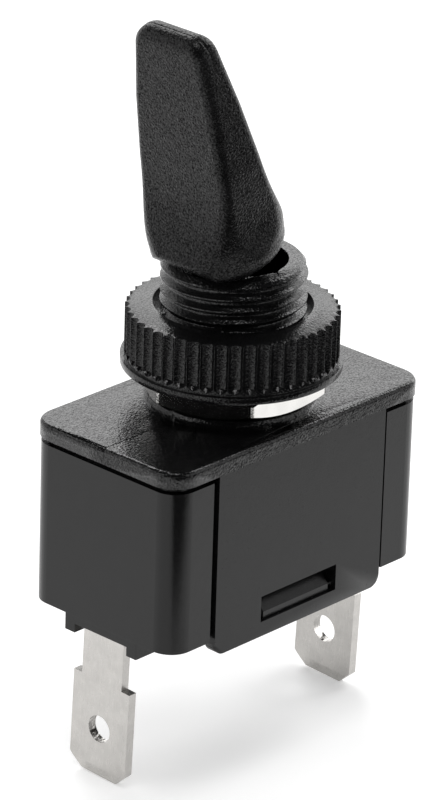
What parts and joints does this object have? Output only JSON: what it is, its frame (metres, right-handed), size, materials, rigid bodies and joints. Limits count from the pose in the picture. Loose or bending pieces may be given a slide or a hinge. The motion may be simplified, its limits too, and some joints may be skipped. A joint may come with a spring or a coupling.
{
  "type": "panel toggle switch",
  "caption": "Panel toggle switch: a flat paddle lever on a threaded bushing with a hexagon nut and a fluted ring nut, over an oblong snap-together body with blade terminals.",
  "frame": {"origin": "on the bushing's axis, in the plane of the hexagon nut's upper face, where the back of the panel seats", "axes": "+Z out of the panel along the bushing, X along the long side of the body, +Y across it; at rest the lever leans toward -X"},
  "size_m": [0.03, 0.0182, 0.0638],
  "materials": {
    "black_plastic": "finely grained black moulding",
    "base_plastic": "finely grained black moulding",
    "lever_plastic": "matt black moulding with a coarse spark grain",
    "hex_nut_plate": "bright nickel-plated steel",
    "ring_nut_black": "half-gloss black",
    "steel": "plain steel",
    "spring_steel": "spring wire",
    "nylon": "natural plastic",
    "rocker_brass": "plain brass",
    "contact_silver": "silver contact",
    "tinned_brass": "tin-plated brass"
  },
  "bodies": {
    "frame": {"housing": "black_plastic", "base": "base_plastic", "pivot_pin": "steel", "fixed_contact": "contact_silver", "switched_terminal": "tinned_brass", "common_terminal": "tinned_brass", "cradle": "rocker_brass", "cradle_rivet": "rocker_brass"},
    "lever": {"lever": "lever_plastic", "plunger_spring": "spring_steel"},
    "plunger": {"plunger": "nylon"},
    "rocker": {"rocker": "rocker_brass", "moving_contact": "contact_silver"},
    "hex_nut": {"hex_nut": "hex_nut_plate"},
    "ring_nut": {"ring_nut": "ring_nut_black"}
  },
  "joints": [
    {"name": "lever_tilt", "type": "hinge", "parent": "frame", "child": "lever", "pos_m": [0, 0, 0.00441], "axis": [0, 1, 0], "range_deg": [0, 34]},
    {"name": "plunger_slide", "type": "slide", "parent": "lever", "child": "plunger", "axis": [0.2924, 0, -0.9563], "range_m": [0, 0.00144], "deforming": ["plunger_spring"]},
    {"name": "rocker_tilt", "type": "hinge", "parent": "frame", "child": "rocker", "pos_m": [0, 0, -0.01435], "axis": [0, 1, 0], "range_deg": [-16, 0]},
    {"name": "hex_nut_turn", "type": "hinge", "parent": "frame", "child": "hex_nut", "pos_m": [0, 0, 0], "axis": [0, 0, 1], "continuous": true},
    {"name": "ring_nut_turn", "type": "hinge", "parent": "frame", "child": "ring_nut", "pos_m": [0, 0, 0], "axis": [0, 0, 1], "continuous": true}
  ],
  "couplings": [
    {"joint": "rocker_tilt", "follows": "lever_tilt", "ratio": -0.4705}
  ]
}
